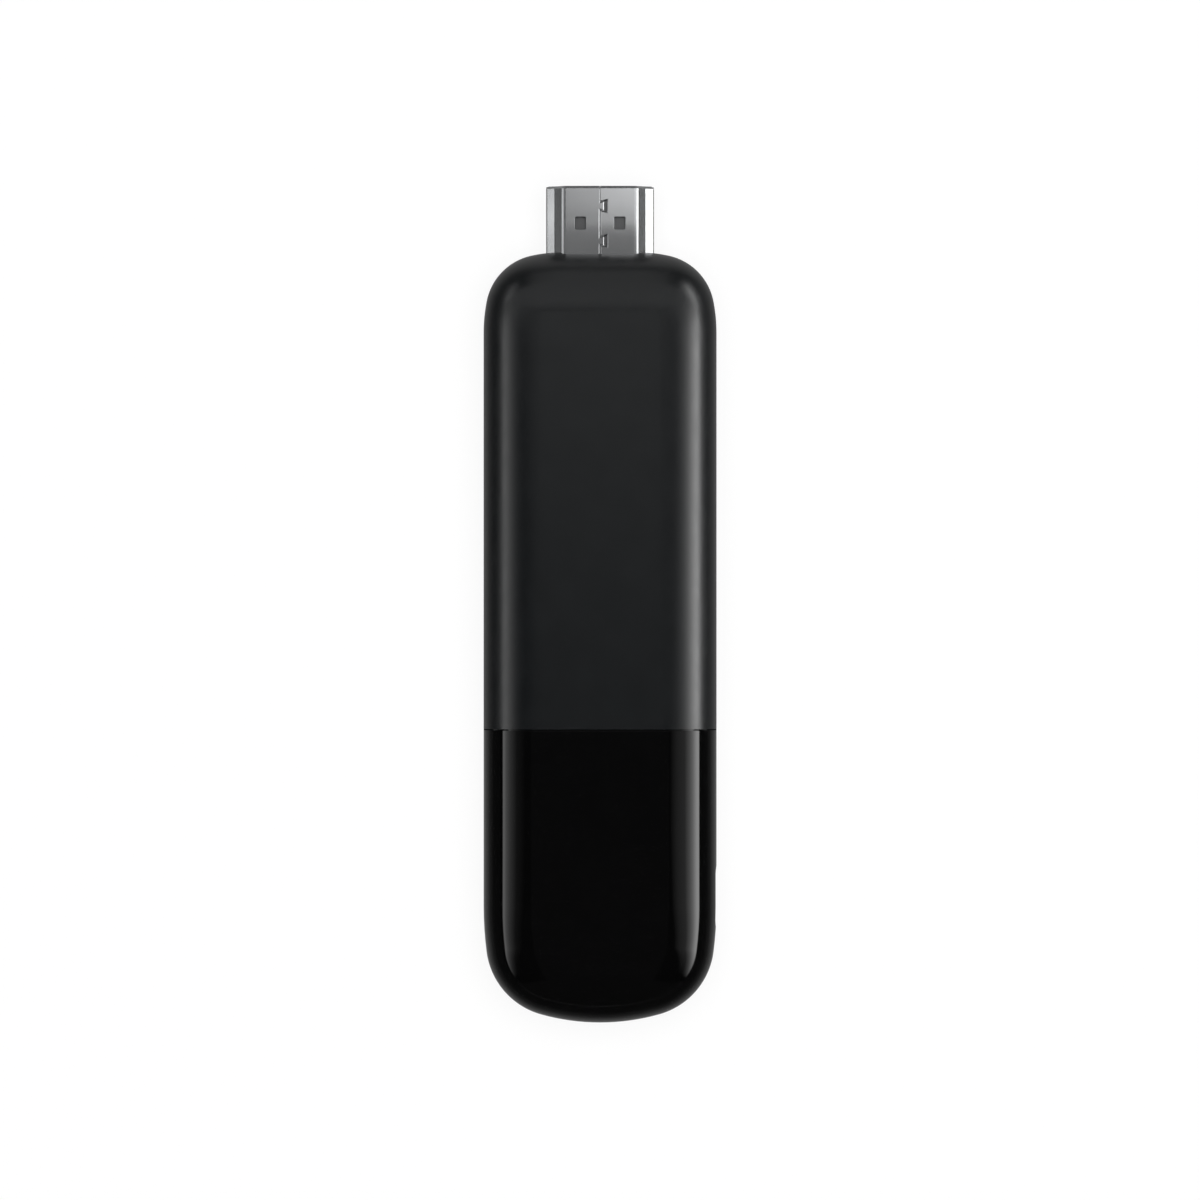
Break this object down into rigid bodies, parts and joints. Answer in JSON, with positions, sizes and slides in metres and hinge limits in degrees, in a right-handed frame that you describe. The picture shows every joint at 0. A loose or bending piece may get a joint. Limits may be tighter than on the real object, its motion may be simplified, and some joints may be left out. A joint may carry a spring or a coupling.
{
  "type": "streaming media stick",
  "caption": "Slim rounded media stick with a matte housing and a gloss front cap, an HDMI plug at one end and a micro-USB power port in its side.",
  "frame": {"origin": "centre of the length and width of the whole stick, plug included, on its flat back face", "axes": "+X to the right across the width seen from the front, towards the power port; +Y along the length, towards the plug's tip; +Z out of the front face, the stick lying on its back"},
  "size_m": [0.03, 0.1076, 0.0154],
  "materials": {
    "cover": "fine moulded texture, black",
    "gloss_cap": "polished black",
    "plug_steel": "nickel-plated folded sheet",
    "port_steel": "plated folded sheet",
    "insulator": "black moulded connector plastic",
    "contact": "gold-plated",
    "board": "green solder mask",
    "chip": "black moulded package",
    "ferrite": "grey ferrite",
    "ceramic": "ceramic with plated ends",
    "shield": "tinned sheet",
    "thermal_pad": "soft silicone",
    "spreader": "pressed sheet",
    "antenna": "plated stamped sheet"
  },
  "bodies": {
    "root": {"rear_cover": "cover", "front_cover": "cover", "gloss_cap": "gloss_cap", "hdmi_shell": "plug_steel", "hdmi_insulator": "insulator", "hdmi_contacts_narrow_row": "contact", "hdmi_contacts_wide_row": "contact", "usb_shell": "port_steel", "usb_insulator": "insulator", "usb_contacts": "contact", "main_board": "board", "soc": "chip", "storage_chip": "chip", "radio_module": "shield", "power_chip": "chip", "crystal": "shield", "memory_chips": "chip", "inductors": "ferrite", "capacitors": "ceramic", "front_shield_frame": "shield", "front_shield_lid": "shield", "rear_shield_frame": "shield", "rear_shield_lid": "shield", "soc_thermal_pad": "thermal_pad", "front_thermal_pad": "thermal_pad", "rear_thermal_pad": "thermal_pad", "front_heat_spreader": "spreader", "rear_heat_spreader": "spreader", "left_antenna": "antenna", "right_antenna": "antenna"}
  },
  "joints": []
}
